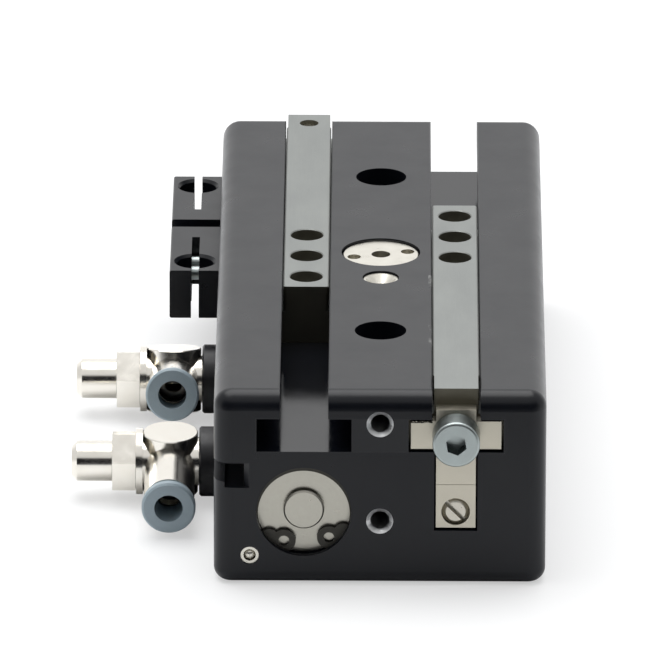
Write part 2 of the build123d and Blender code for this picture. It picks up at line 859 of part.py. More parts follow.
def make_nipple():
    """Funnel grease nipple: a turned cup on a stem pressed into the housing."""
    top = body_height - nipple_sink
    seat = body_height - nipple_seat_depth
    with BuildPart() as nipple:
        with BuildSketch(Plane.XZ.offset(-nipple_shift)):
            with BuildLine():
                Polyline(
                    (0, seat - nipple_stem_length),
                    (nipple_stem_radius, seat - nipple_stem_length),
                    (nipple_stem_radius, seat),
                    (nipple_radius, seat),
                    (nipple_radius, top),
                    (nipple_radius - 2 * hole_chamfer, top),
                    (nipple_throat_radius, seat + nipple_sink),
                    (nipple_throat_radius, seat - nipple_stem_length / 2),
                    (0, seat - nipple_stem_length / 2),
                    close=True,
                )
            make_face()
        revolve(axis=Axis((0, nipple_shift, 0), (0, 0, 1)))
    save(nipple, "grease_nipple")


def make_plugs():
    """Expander plugs that close the drilled air ducts: a sleeve with a ball pressed in."""
    spot = (-plug_offset, plug_height)
    for end in ends:
        with BuildPart() as sleeve:
            disc(end_plane(end, plug_sink), spot, plug_radius, plug_sink - plug_length)
            disc(end_plane(end, plug_sink), spot, plug_bore_radius, -plug_bore_depth, Mode.SUBTRACT)
        save(sleeve, f"duct_plug_{end}")
        ball_radius = plug_bore_radius - plug_ball_gap
        with BuildPart() as ball:
            with Locations(end_plane(end, plug_ball_sink + ball_radius)):
                with Locations(spot):
                    Sphere(ball_radius)
        save(ball, f"duct_ball_{end}")


# Sensor brackets


def make_bracket(place, bore_end, y_low):
    """Clamp block for one sensor; its slot runs from the bore's end inwards."""
    middle_x = -side_wall - bracket_width / 2
    y_high = y_low + bracket_length
    way = 1 if bore_end == "front" else -1
    y_end = y_low if bore_end == "front" else y_high
    with BuildPart() as bracket:
        with BuildSketch(top_plane(bracket_bottom)):
            with Locations((middle_x, (y_low + y_high) / 2)):
                Rectangle(bracket_width, bracket_length)
        extrude(amount=bracket_height)
        outer_edges = bracket.edges().filter_by(Axis.Y).sort_by(Axis.X)[0:2]
        fillet(outer_edges, radius=bracket_edge_radius)
        with BuildSketch(top_plane(bracket_bottom)):
            with Locations((middle_x, y_end + way * sensor_bore_inset)):
                Circle(sensor_bore_radius)
            with Locations((middle_x, y_end + way * bracket_slot_length / 2)):
                Rectangle(bracket_slot_width, bracket_slot_length)
        extrude(amount=bracket_height, mode=Mode.SUBTRACT)
        top = bracket_bottom + bracket_height
        for height, amount in ((top, -sensor_bore_chamfer), (bracket_bottom, sensor_bore_chamfer)):
            with BuildSketch(top_plane(height)):
                with Locations((middle_x, y_end + way * sensor_bore_inset)):
                    Circle(sensor_bore_radius + sensor_bore_chamfer)
            extrude(amount=amount, taper=45, mode=Mode.SUBTRACT)
        for plane in screw_planes(y_end, way):
            with BuildSketch(plane):
                Circle(bracket_screw_head_radius + seat_gap)
            extrude(amount=-bracket_screw_head_height, mode=Mode.SUBTRACT)
            with BuildSketch(plane):
                Circle(bracket_screw_radius + thread_clearance)
            extrude(amount=-bracket_width, mode=Mode.SUBTRACT)
    save(bracket, f"sensor_bracket_{place}")


def screw_planes(y_end, way):
    """Planes on the bracket's outer face, one for each of its two screws."""
    height = (groove_mouth_bottom + groove_top) / 2
    outer_x = -side_wall - bracket_width
    return [
        Plane(origin=(outer_x, y_end + way * inset, height), x_dir=(0, -1, 0), z_dir=(-1, 0, 0))
        for inset in bracket_screw_insets
    ]


def make_bracket_screws(place, bore_end, y_low):
    """The clamp screw and the fixing screw of one bracket, as a group."""
    way = 1 if bore_end == "front" else -1
    y_end = y_low if bore_end == "front" else y_low + bracket_length
    reach = bracket_width + groove_lip + groove_nut_thickness
    with BuildPart() as screws:
        for plane in screw_planes(y_end, way):
            with BuildSketch(plane):
                Circle(bracket_screw_head_radius)
            extrude(amount=-bracket_screw_head_height)
            with BuildSketch(plane):
                Circle(bracket_screw_radius)
            extrude(amount=-reach)
            with BuildSketch(plane):
                RegularPolygon(bracket_screw_socket_width / 2, 6, major_radius=False)
            extrude(amount=-bracket_screw_head_height / 2, mode=Mode.SUBTRACT)
    save(screws, f"bracket_screws_{place}")


def make_groove_nut(place, bore_end, y_low):
    """Nut bar that lies behind the groove's lip."""
    way = 1 if bore_end == "front" else -1
    y_end = y_low if bore_end == "front" else y_low + bracket_length
    y_middle = y_end + way * sum(bracket_screw_insets) / 2
    x_low = -side_wall + groove_lip
    with BuildPart() as nut:
        with BuildSketch(top_plane(groove_bottom + seat_gap)):
            with Locations((x_low + groove_nut_thickness / 2, y_middle)):
                Rectangle(groove_nut_thickness, groove_nut_length)
        extrude(amount=groove_top - groove_bottom - 2 * seat_gap)
        for plane in screw_planes(y_end, way):
            with BuildSketch(plane):
                Circle(bracket_screw_radius + thread_clearance)
            reach = bracket_width + groove_lip + groove_nut_thickness
            extrude(amount=-(reach + seat_gap), mode=Mode.SUBTRACT)
    save(nut, f"groove_nut_{place}")


# Flow control fittings


def port_plane(place, reach):
    """Plane across the tube port, at a reach from the swivel's axis."""
    tilt = math.radians(fitting_tilts[place])
    out = Vector(0, -math.cos(tilt), math.sin(tilt))
    middle_x = -side_wall - swivel_drum_reach
    centre = Vector(middle_x, fitting_depths[place] - body_length / 2, fitting_height)
    return Plane(origin=centre + out * reach, x_dir=(1, 0, 0), z_dir=out)


def drum_plane(place, height):
    """Plane across the swivel's drum, whose axis crosses both bolt and port."""
    tilt = math.radians(fitting_tilts[place])
    up = Vector(0, math.sin(tilt), math.cos(tilt))
    middle_x = -side_wall - swivel_drum_reach
    centre = Vector(middle_x, fitting_depths[place] - body_length / 2, fitting_height)
    return Plane(origin=centre + up * height, x_dir=(1, 0, 0), z_dir=up)


def turned(place, reach, length, radius, mode=Mode.ADD):
    """A disc on the bolt's axis from a reach outwards, as part of the piece being built."""
    disc(left_plane(fitting_depths[place], reach), (0, 0), radius, length, mode)


def make_fitting(place):
    """Every piece of one fitting."""
    depth = fitting_depths[place]
    body_start = base_ring_width + swivel_play
    body_end = base_ring_width + swivel_length - swivel_play
    hex_start = base_ring_width + swivel_length
    cap_start = hex_start + bolt_hex_length
    needle_start = cap_start - throttle_stem_length

    with BuildPart() as base_ring:
        turned(place, 0, base_ring_width, base_ring_radius)
        chamfer(base_ring.edges().filter_by(GeomType.CIRCLE), length=base_ring_chamfer)
        turned(place, 0, base_ring_width, port_radius + thread_clearance, Mode.SUBTRACT)
    save(base_ring, f"fitting_ring_{place}")

    with BuildPart() as bolt:
        turned(place, -port_depth + seat_gap, port_depth + base_ring_width - seat_gap, port_radius)
        turned(place, base_ring_width, swivel_length, hollow_bolt_radius)
        with BuildSketch(left_plane(depth, hex_start)):
            RegularPolygon(bolt_hex_width / 2, 6, major_radius=False, rotation=bolt_hex_turn)
        extrude(amount=bolt_hex_length)
        waist = swivel_drum_reach - hollow_bolt_waist_length / 2
        with BuildSketch(left_plane(depth, waist)):
            Circle(hollow_bolt_radius)
            Circle(hollow_bolt_waist_radius, mode=Mode.SUBTRACT)
        extrude(amount=hollow_bolt_waist_length, mode=Mode.SUBTRACT)
        stem_hole = throttle_stem_radius + running_clearance
        turned(place, needle_start - seat_gap, throttle_stem_length + seat_gap, stem_hole, Mode.SUBTRACT)
        turned(place, -port_depth, port_depth + needle_start, air_duct_radius, Mode.SUBTRACT)
    save(bolt, f"fitting_bolt_{place}")

    with BuildPart() as throttle:
        turned(place, cap_start + seat_gap, throttle_cap_length, throttle_cap_radius)
        outermost = throttle.edges().filter_by(GeomType.CIRCLE).sort_by(Axis.X)[0]
        chamfer(outermost, length=throttle_cap_chamfer)
        turned(place, needle_start + throttle_needle_length, cap_start - needle_start, throttle_stem_radius)
        turned(place, needle_start, throttle_needle_length, air_duct_radius)
    save(throttle, f"throttle_screw_{place}")

    with BuildPart() as swivel:
        with BuildSketch(drum_plane(place, -swivel_drum_height / 2)):
            Circle(swivel_drum_radius)
        extrude(amount=swivel_drum_height)
        chamfer(swivel.edges().filter_by(GeomType.CIRCLE), length=hole_chamfer)
        turned(place, body_start, body_end - body_start, swivel_collar_radius)
        turned(place, body_end - swivel_flange_length, swivel_flange_length, swivel_flange_radius)
        stub_end = port_face_reach - release_flange_length - release_travel - seat_gap
        with BuildSketch(port_plane(place, 0)):
            Circle(port_stub_radius)
        extrude(amount=stub_end)
        bolt_hole = hollow_bolt_radius + running_clearance
        turned(place, body_start, body_end - body_start, bolt_hole, Mode.SUBTRACT)
        with BuildSketch(port_plane(place, stub_end)):
            Circle(collet_radius + seat_gap)
        extrude(amount=-tube_seat_depth, mode=Mode.SUBTRACT)
        with BuildSketch(port_plane(place, stub_end)):
            Circle(inner_duct_radius)
        extrude(amount=-stub_end, mode=Mode.SUBTRACT)
    save(swivel, f"fitting_body_{place}")

    with BuildPart() as release:
        with BuildSketch(port_plane(place, port_face_reach)):
            Circle(release_flange_radius)
        extrude(amount=-release_flange_length)
        chamfer(release.edges().filter_by(GeomType.CIRCLE), length=release_flange_chamfer)
        with BuildSketch(port_plane(place, port_face_reach)):
            Circle(release_sleeve_radius)
        extrude(amount=-(release_flange_length + release_sleeve_length))
        with BuildSketch(port_plane(place, port_face_reach)):
            Circle(tube_hole_radius)
        extrude(amount=-(release_flange_length + release_sleeve_length), mode=Mode.SUBTRACT)
    save(release, f"release_ring_{place}")

    collet_end = port_face_reach - release_flange_length - release_sleeve_length - release_travel - seat_gap
    with BuildPart() as collet:
        with BuildSketch(port_plane(place, collet_end)):
            Circle(collet_radius)
            Circle(tube_hole_radius + seat_gap, mode=Mode.SUBTRACT)
        extrude(amount=-collet_length)
    save(collet, f"tube_collet_{place}")

    with BuildPart() as seal:
        with BuildSketch(port_plane(place, collet_end - collet_length)):
            Circle(collet_radius)
            Circle(tube_hole_radius, mode=Mode.SUBTRACT)
        extrude(amount=-tube_seal_length)
    save(seal, f"tube_seal_{place}")


# Build everything

make_housing()
make_jaw_bar("front", bar_end_gap, bar_length_right, "jaw_right", False)
make_jaw_bar("back", -bar_overhang_left, bar_length_left, "jaw_left", True)
make_driver_right()
make_driver_left()
make_cap_screw()
make_pin()
for near_end, jaw_side in ends.items():
    make_rod(near_end, jaw_side)
    make_piston(near_end, jaw_side)
    make_rod_guide(near_end, jaw_side)
    make_cylinder_cap(near_end, jaw_side)
    make_circlip(near_end, jaw_side)
make_pinion()
make_axle()
make_nipple()
make_plugs()
front_bracket_low = bracket_front_depth - body_length / 2
brackets = (
    ("front", "front", front_bracket_low),
    ("rear", "back", front_bracket_low + bracket_spacing),
)
for bracket_place, bore_side, low_y in brackets:
    make_bracket(bracket_place, bore_side, low_y)
    make_bracket_screws(bracket_place, bore_side, low_y)
    make_groove_nut(bracket_place, bore_side, low_y)
for fitting_place in fitting_depths:
    make_fitting(fitting_place)
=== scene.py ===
import json
import math

import bmesh
import bpy
from mathutils import Matrix, Vector


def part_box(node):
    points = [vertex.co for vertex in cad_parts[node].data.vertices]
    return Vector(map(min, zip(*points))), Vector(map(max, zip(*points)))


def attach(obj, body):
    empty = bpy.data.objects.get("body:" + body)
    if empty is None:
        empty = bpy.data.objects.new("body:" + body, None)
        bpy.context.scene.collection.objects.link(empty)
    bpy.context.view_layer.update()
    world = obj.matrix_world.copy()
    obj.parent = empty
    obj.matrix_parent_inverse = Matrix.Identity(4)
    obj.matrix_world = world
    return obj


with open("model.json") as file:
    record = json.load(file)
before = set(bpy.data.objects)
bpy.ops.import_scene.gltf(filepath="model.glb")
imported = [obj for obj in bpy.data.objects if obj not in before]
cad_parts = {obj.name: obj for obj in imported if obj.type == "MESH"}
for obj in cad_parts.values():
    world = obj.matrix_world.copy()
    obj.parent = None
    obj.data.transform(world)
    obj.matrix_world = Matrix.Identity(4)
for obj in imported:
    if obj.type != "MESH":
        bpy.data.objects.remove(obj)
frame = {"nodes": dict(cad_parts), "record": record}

bl_info = {
    "name": "Two-jaw parallel gripper",
    "version": (1, 0, 0),
    "blender": (4, 5, 0),
    "location": "3D View > Sidebar > Gripper",
    "description": "Adds the looks of a pneumatic parallel gripper to its CAD parts",
    "category": "Object",
}

MM = 0.001

# The gripper's own sizes, in millimetres, as its CAD parts have them.
BODY_LENGTH = 172.0
ROD_HEIGHT = 16.5
JAW_OFFSET = 16.0
FINGER_HOLE_COUNT = 3
FINGER_HOLE_PITCH = 12.8
FINGER_HOLE_INSET = 6.5
FINGER_SLEEVE_DEPTH = 3.0
FINGER_THREAD_LEAD_IN = 0.2
FINGER_THREAD_DEPTH = 9.75
END_THREAD_HEIGHTS = (36.3, 14.5)
END_THREAD_LEAD_IN = 0.75
END_THREAD_DEPTH = 11.8

# How the threaded sleeves are meshed, in millimetres where it is a length.
SLEEVE_GAP = 0.02
SLEEVE_WALL = 0.012
SLEEVE_SINK = 0.01
POINTS_AROUND = 36
STEPS_PER_TURN = 6
WELD_DISTANCE = 0.0001
SHARP_ANGLE = math.radians(35.0)

# Where the housing shows bare chips beside the right slot, and how far its slots reach.
CHIPPED_EDGE = (10.25, 10.9)
CHIPS_BY_NIPPLE = (-20.5, -14.5)
CHIPS_BY_SCREW_HOLE = (-57.0, -44.5)
SLOT_HEIGHTS = (30.0, 37.5)
SLOT_REACH = 26.2
SLOT_SMOOTHNESS = 0.19

# The chipped upper edge of the right driver's inner wing.
DRIVER_CHIP_SPAN = (6.2, 11.0)
DRIVER_CHIP_HEIGHTS = (36.55, 37.2)

# Spacing of the turning rings, in millimetres.
CAP_RING_PITCH = 0.9
ROD_RING_PITCH = 0.7

# Where the noise of a finish lies for the most part, out of 0 to 1.
NOISE_SPAN = (0.3, 0.7)

# The studio, in metres and degrees, and the camera's sensor in millimetres.
FLOOR_SINK = 0.02 * MM
TENT_DARK_BELOW = 33.0
TENT_WHITE_ABOVE = 40.0
TENT_OPENING_SPAN = (-0.55, -0.15)
BACK_WALL_SPAN = (0.5, 0.8)
SOFTBOX_SIZE = (1.1, 0.9)
SOFTBOX_PLACE = (-0.1, 0.25, 1.1)
SENSOR_WIDTH = 36.0
CLIP_NEAR = 0.1
CLIP_FAR = 20.0


def linear(code):
    """Linear colour from a six-figure sRGB code."""
    channels = [int(code[i:i + 2], 16) / 255 for i in (0, 2, 4)]
    return (*[c / 12.92 if c <= 0.04045 else ((c + 0.055) / 1.055) ** 2.4 for c in channels], 1.0)


def add(tree, kind, links=None, **values):
    """Add a node, set its plain values and link the sockets named in links."""
    node = tree.nodes.new(kind)
    for key, value in values.items():
        if hasattr(node, key):
            setattr(node, key, value)
        else:
            node.inputs[key.replace("_", " ")].default_value = value
    for socket, source in (links or {}).items():
        tree.links.new(source, node.inputs[socket])
    return node


def new_material(name, metallic=0.0):
    """An empty node material with its output, its shader and its place in millimetres."""
    material = bpy.data.materials.new(name)
    material.use_nodes = True
    tree = material.node_tree
    tree.nodes.clear()
    output = add(tree, "ShaderNodeOutputMaterial")
    shader = add(tree, "ShaderNodeBsdfPrincipled", Metallic=metallic)
    tree.links.new(shader.outputs[0], output.inputs[0])
    place = add(tree, "ShaderNodeTexCoord")
    scale = add(tree, "ShaderNodeVectorMath", {0: place.outputs["Object"]}, operation="SCALE")
    scale.inputs["Scale"].default_value = 1 / MM
    return material, tree, shader, scale.outputs[0]


def grain(tree, place, stretch, size, detail, roughness=0.6):
    """Noise between 0 and 1 whose grain is size millimetres, stretched by three factors."""
    moved = add(tree, "ShaderNodeMapping", {0: place})
    moved.inputs["Scale"].default_value = stretch
    noise = add(tree, "ShaderNodeTexNoise", {"Vector": moved.outputs[0]})
    noise.inputs["Scale"].default_value = 1 / size
    noise.inputs["Detail"].default_value = detail
    noise.inputs["Roughness"].default_value = roughness
    return noise.outputs["Fac"]


def remap(tree, source, low, high, to_low, to_high, smooth=False):
    """Map a value from one range to another, held at both ends."""
    node = add(tree, "ShaderNodeMapRange", {"Value": source}, clamp=True)
    node.interpolation_type = "SMOOTHSTEP" if smooth else "LINEAR"
    for key, value in (("From Min", low), ("From Max", high), ("To Min", to_low), ("To Max", to_high)):
        node.inputs[key].default_value = value
    return node.outputs[0]


def math_node(tree, operation, first, second=None):
    """One arithmetic step, of sockets or plain numbers."""
    node = add(tree, "ShaderNodeMath", operation=operation)
    for slot, value in enumerate((first, second)):
        if value is None:
            continue
        if isinstance(value, (int, float)):
            node.inputs[slot].default_value = value
        else:
            tree.links.new(value, node.inputs[slot])
    return node.outputs[0]


def mix_colour(tree, share, first, second):
    """Mix two colours, given as codes or sockets, by the share of the second."""
    node = add(tree, "ShaderNodeMix", {0: share}, data_type="RGBA")
    for slot, value in ((6, first), (7, second)):
        if isinstance(value, str):
            node.inputs[slot].default_value = linear(value)
        else:
            tree.links.new(value, node.inputs[slot])
    return node.outputs[2]


def bump(tree, shader, height, depth_mm, strength):
    """Give the shader a bump whose full height is depth_mm."""
    node = add(tree, "ShaderNodeBump", {"Height": height})
    node.inputs["Strength"].default_value = strength
    node.inputs["Distance"].default_value = depth_mm * MM
    tree.links.new(node.outputs[0], shader.inputs["Normal"])


def vary(tree, shader, cloud, low, high, rough):
    """Vary the shader's colour and roughness between two values each, by one noise."""
    tree.links.new(mix_colour(tree, cloud, low, high), shader.inputs["Base Color"])
    tree.links.new(remap(tree, cloud, *NOISE_SPAN, *rough), shader.inputs["Roughness"])


def inside(tree, place, axis, span, soft):
    """1 where one coordinate in millimetres lies within a span, with soft edges."""
    low, high = span
    parts = add(tree, "ShaderNodeSeparateXYZ", {0: place})
    value = parts.outputs[axis]
    up = remap(tree, value, low - soft, low, 0.0, 1.0, True)
    down = remap(tree, value, high, high + soft, 1.0, 0.0, True)
    return math_node(tree, "MULTIPLY", up, down)


def black_anodised():
    """Black anodised aluminium: blasted outside, smooth in the slots, with a few bare chips."""
    material, tree, shader, place = new_material("black_anodised_aluminium")
    cloud = grain(tree, place, (1, 1, 1), 9.0, 4.0)
    fine = grain(tree, place, (1, 1, 1), 0.35, 2.0)
    colour = mix_colour(tree, cloud, "0A0C12", "111319")
    chips = grain(tree, place, (1, 0.45, 1), 1.6, 3.0, 0.55)
    edge = inside(tree, place, 0, CHIPPED_EDGE, 0.25)
    by_nipple = inside(tree, place, 1, CHIPS_BY_NIPPLE, 1.5)
    by_hole = inside(tree, place, 1, CHIPS_BY_SCREW_HOLE, 1.0)
    where = math_node(tree, "MULTIPLY", edge, math_node(tree, "MAXIMUM", by_nipple, by_hole))
    bare = remap(tree, math_node(tree, "MULTIPLY", chips, where), 0.44, 0.60, 0.0, 0.7)
    slots = inside(tree, place, 2, SLOT_HEIGHTS, 0.1)
    within = inside(tree, place, 0, (-SLOT_REACH, SLOT_REACH), 0.1)
    smooth = math_node(tree, "MULTIPLY", slots, math_node(tree, "MULTIPLY", within, SLOT_SMOOTHNESS))
    shader.inputs["Specular IOR Level"].default_value = 0.27
    tree.links.new(mix_colour(tree, bare, colour, "8C8C8A"), shader.inputs["Base Color"])
    blasted = remap(tree, cloud, *NOISE_SPAN, 0.27, 0.34)
    rough = math_node(tree, "SUBTRACT", blasted, smooth)
    tree.links.new(rough, shader.inputs["Roughness"])
    bump(tree, shader, fine, 0.006, 0.35)
    return material


def hardened_steel():
    """Hardened steel jaw bar: ground on top, dull olive from the furnace on its ends and in its holes."""
    material, tree, shader, place = new_material("ground_hardened_steel", metallic=1.0)
    long_grain = grain(tree, place, (1, 0.02, 1), 0.12, 2.0)
    cloud = grain(tree, place, (1, 0.35, 1), 7.0, 4.0)
    geometry = add(tree, "ShaderNodeNewGeometry")
    parts = add(tree, "ShaderNodeSeparateXYZ", {0: geometry.outputs["Normal"]})
    ground = remap(tree, parts.outputs[2], 0.35, 0.75, 0.0, 1.0)
    streaks = math_node(tree, "MULTIPLY", long_grain, 0.35)
    tone = math_node(tree, "ADD", streaks, remap(tree, cloud, 0.25, 0.75, 0.1, 0.65))
    bright = mix_colour(tree, tone, "7D807F", "919491")
    dark = mix_colour(tree, cloud, "6E6B60", "848175")
    tree.links.new(mix_colour(tree, ground, dark, bright), shader.inputs["Base Color"])
    tree.links.new(remap(tree, ground, 0.0, 1.0, 0.52, 0.38), shader.inputs["Roughness"])
    bump(tree, shader, long_grain, 0.004, 0.5)
    return material


def milled_steel():
    """Milled, nickel-coloured steel of the drivers, a little warm, with a dark chip on one wing's edge."""
    material, tree, shader, place = new_material("milled_steel", metallic=1.0)
    feed = grain(tree, place, (0.05, 1, 1), 0.2, 2.0)
    cloud = grain(tree, place, (1, 1, 1), 4.0, 4.0)
    chips = grain(tree, place, (1, 1, 1), 0.55, 4.0, 0.7)
    wing = inside(tree, place, 0, DRIVER_CHIP_SPAN, 0.3)
    top = inside(tree, place, 2, DRIVER_CHIP_HEIGHTS, 0.35)
    where = math_node(tree, "MULTIPLY", wing, top)
    chipped = remap(tree, math_node(tree, "MULTIPLY", chips, where), 0.40, 0.47, 0.0, 1.0)
    colour = mix_colour(tree, cloud, "B3AEA0", "C4BFB2")
    tree.links.new(mix_colour(tree, chipped, colour, "201E1B"), shader.inputs["Base Color"])
    tree.links.new(remap(tree, cloud, *NOISE_SPAN, 0.34, 0.44), shader.inputs["Roughness"])
    bump(tree, shader, feed, 0.004, 0.5)
    return material


def zinc_steel():
    """Blue-passivated zinc on steel screws."""
    material, tree, shader, place = new_material("blue_zinc_plated_steel", metallic=1.0)
    cloud = grain(tree, place, (1, 1, 1), 2.2, 4.0)
    fine = grain(tree, place, (1, 1, 1), 0.25, 2.0)
    vary(tree, shader, cloud, "939C9C", "ABB2B1", (0.28, 0.42))
    bump(tree, shader, fine, 0.005, 0.4)
    return material


def turned_steel(name, low, high, centre=None, pitch=None):
    """Bright steel, with turning rings round a centre line along Y where one is given."""
    material, tree, shader, place = new_material(name, metallic=1.0)
    cloud = grain(tree, place, (1, 1, 1), 3.0, 4.0)
    vary(tree, shader, cloud, low, high, (0.26, 0.36))
    if centre is None:
        bump(tree, shader, grain(tree, place, (1, 1, 1), 0.3, 2.0), 0.003, 0.4)
        return material
    offset = add(tree, "ShaderNodeVectorMath", {0: place}, operation="SUBTRACT")
    offset.inputs[1].default_value = (centre[0], 0.0, centre[1])
    flat = add(tree, "ShaderNodeVectorMath", {0: offset.outputs[0]}, operation="MULTIPLY")
    flat.inputs[1].default_value = (1.0, 0.0, 1.0)
    length = add(tree, "ShaderNodeVectorMath", {0: flat.outputs[0]}, operation="LENGTH")
    phase = math_node(tree, "MULTIPLY", length.outputs["Value"], 2 * math.pi / pitch)
    bump(tree, shader, math_node(tree, "SINE", phase), 0.004, 0.6)
    return material


def phosphated_steel():
    """Dark phosphated spring steel of the retaining rings."""
    material, tree, shader, place = new_material("phosphated_spring_steel", metallic=0.6)
    cloud = grain(tree, place, (1, 1, 1), 1.5, 4.0)
    vary(tree, shader, cloud, "2A2926", "46443E", (0.42, 0.58))
    bump(tree, shader, cloud, 0.01, 0.3)
    return material


def plain_metal(name, low, high, rough, grain_mm, depth_mm):
    """A cast, turned or drawn metal without a direction."""
    material, tree, shader, place = new_material(name, metallic=1.0)
    cloud = grain(tree, place, (1, 1, 1), 2.5, 3.0)
    fine = grain(tree, place, (1, 1, 1), grain_mm, 2.0)
    vary(tree, shader, cloud, low, high, rough)
    bump(tree, shader, fine, depth_mm, 0.4)
    return material


def plastic(name, low, high, rough):
    """A moulded plastic or rubber."""
    material, tree, shader, place = new_material(name)
    cloud = grain(tree, place, (1, 1, 1), 1.6, 3.0)
    fine = grain(tree, place, (1, 1, 1), 0.3, 2.0)
    vary(tree, shader, cloud, low, high, rough)
    bump(tree, shader, fine, 0.006, 0.5)
    return material


def make_materials():
    """One finish for each material slot of the record, and a few for single pieces."""
    by_slot = {
        "black_anodised": black_anodised(),
        "jaw_steel": hardened_steel(),
        "driver_steel": milled_steel(),
        "zinc_steel": zinc_steel(),
        "bright_steel": turned_steel("bright_turned_steel", "C9C5BA", "DEDBD2"),
        "phosphated_steel": phosphated_steel(),
        "piston_aluminium": plain_metal("bare_aluminium", "B8B9BA", "CFD0D1", (0.3, 0.4), 0.3, 0.004),
        "guide_bronze": plain_metal("sintered_bronze", "8A6A3C", "A98550", (0.45, 0.55), 0.2, 0.01),
        "seal_rubber": plastic("black_nitrile_rubber", "101010", "1A1A1A", (0.6, 0.7)),
        "nickel_brass": plain_metal("satin_nickel_plated_brass", "DFDAD0", "EBE8E1", (0.16, 0.24), 0.25,
                                    0.004),
        "black_plastic": plastic("black_glass_filled_nylon", "121216", "1B1B20", (0.38, 0.5)),
        "blue_grey_plastic": plastic("blue_grey_acetal", "8E9DA6", "99A8B0", (0.4, 0.5)),
    }
    by_node = {}
    for piece, low, high, pitch in (("cylinder_cap", "9A978E", "B0AEA5", CAP_RING_PITCH),
                                    ("piston_rod", "A9A49A", "C9C5BA", ROD_RING_PITCH)):
        for side, x in (("right", JAW_OFFSET), ("left", -JAW_OFFSET)):
            node = f"{piece}_{side}"
            by_node[node] = turned_steel(f"turned_steel_{node}", low, high, (x, ROD_HEIGHT), pitch)
    return by_slot, by_node


def finished(mesh_source, name, material, body):
    """Turn a bmesh into a piece that rides on a CAD body."""
    bmesh.ops.remove_doubles(mesh_source, verts=mesh_source.verts, dist=WELD_DISTANCE * MM)
    bmesh.ops.recalc_face_normals(mesh_source, faces=mesh_source.faces)
    data = bpy.data.meshes.new(name)
    mesh_source.to_mesh(data)
    mesh_source.free()
    piece = bpy.data.objects.new(name, data)
    bpy.context.scene.collection.objects.link(piece)
    data.materials.append(material)
    data.shade_smooth()
    data.set_sharp_from_angle(angle=SHARP_ANGLE)
    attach(piece, body)


def thread_lining(mesh, frame_matrix, mouth, core, root, lead_in, depth, pitch):
    """A thin threaded sleeve: a countersink, then a ridge that winds down the hole.

    All sizes are in millimetres. The hole's axis is local z, with z = 0 at its mouth
    and z negative inside.
    """
    rings = []
    count = int((depth - lead_in) / pitch * STEPS_PER_TURN)
    outer = root + SLEEVE_WALL

    def ring(z, radius_at):
        row = []
        for k in range(POINTS_AROUND):
            angle = 2 * math.pi * k / POINTS_AROUND
            radius = radius_at(angle)
            point = Vector((radius * math.cos(angle), radius * math.sin(angle), z)) * MM
            row.append(mesh.verts.new(frame_matrix @ point))
        rings.append(row)

    ring(-SLEEVE_SINK, lambda angle: mouth)
    for step in range(count + 1):
        z = -lead_in - (depth - lead_in) * step / count

        def radius_at(angle, z=z):
            phase = (z / pitch + angle / (2 * math.pi)) % 1.0
            ridge = 1 - abs(2 * phase - 1)
            return root - (root - core) * ridge

        ring(z, radius_at)
    ring(-depth, lambda angle: outer)
    ring(-lead_in, lambda angle: outer)
    ring(-SLEEVE_SINK, lambda angle: mouth + SLEEVE_WALL)
    for upper, lower in zip(rings, rings[1:] + rings[:1]):
        for k in range(POINTS_AROUND):
            n = (k + 1) % POINTS_AROUND
            mesh.faces.new((upper[k], upper[n], lower[n], lower[k]))


def hole_frame(place, outward):
    """Matrix that stands local z on an outward direction at a place in millimetres."""
    rotation = Vector(outward).to_track_quat("Z", "Y").to_matrix().to_4x4()
    return Matrix.Translation(Vector(place) * MM) @ rotation


class GripperThreadSettings(bpy.types.PropertyGroup):
    """Sizes of the threads in the tapped holes."""

    pitch: bpy.props.FloatProperty(name="Pitch", description="Distance between two thread ridges",
                                   default=0.8 * MM, unit="LENGTH")
    ridge: bpy.props.FloatProperty(name="Ridge", description="Height of a thread ridge in the hole",
                                   default=0.16 * MM, unit="LENGTH")
    core: bpy.props.FloatProperty(name="Core radius", description="Radius of the drilled hole",
                                  default=2.1 * MM, unit="LENGTH")
    mouth: bpy.props.FloatProperty(name="Mouth radius", description="Radius of the countersink at the face",
                                   default=2.85 * MM, unit="LENGTH")


class GripperStageSettings(bpy.types.PropertyGroup):
    """Where the camera stands and how bright the studio is."""

    lens: bpy.props.FloatProperty(name="Lens", description="Focal length of the camera in millimetres",
                                  default=737.9)
    distance: bpy.props.FloatProperty(name="Distance", description="Camera to the point it looks at",
                                      default=2.9482, unit="LENGTH")
    elevation: bpy.props.FloatProperty(name="Elevation", description="Height of the camera over the horizon",
                                       default=math.radians(20.751), subtype="ANGLE")
    yaw: bpy.props.FloatProperty(name="Yaw", description="Turn of the view about the vertical",
                                 default=math.radians(0.222), subtype="ANGLE")
    roll: bpy.props.FloatProperty(name="Roll", description="Turn of the view about its own line",
                                  default=math.radians(0.173), subtype="ANGLE")
    aim: bpy.props.FloatVectorProperty(name="Aim", description="Point in the middle of the picture",
                                       default=(-0.01039, 0.0, 0.02437), subtype="TRANSLATION")
    floor_reach: bpy.props.FloatProperty(name="Floor reach",
                                         description="Floor from the gripper to each side",
                                         default=0.75, unit="LENGTH")
    floor_front: bpy.props.FloatProperty(name="Floor front",
                                         description="Floor from the middle to its front edge",
                                         default=0.235, unit="LENGTH")
    floor_glow: bpy.props.FloatProperty(name="Floor exposure",
                                        description="How far the floor is blown out to white in the picture",
                                        subtype="FACTOR", min=0.0, max=1.0, default=0.5)
    key_power: bpy.props.FloatProperty(name="Key light", description="Power of the overhead softbox",
                                       default=11.0, unit="POWER")
    sky: bpy.props.FloatProperty(name="Sky", description="Strength of the white surroundings", default=0.85)
    back_wall: bpy.props.FloatProperty(name="Back wall", description="Strength of the white wall behind",
                                       default=1.15)


def made(name):
    """A finish by its material name."""
    return bpy.data.materials[name]


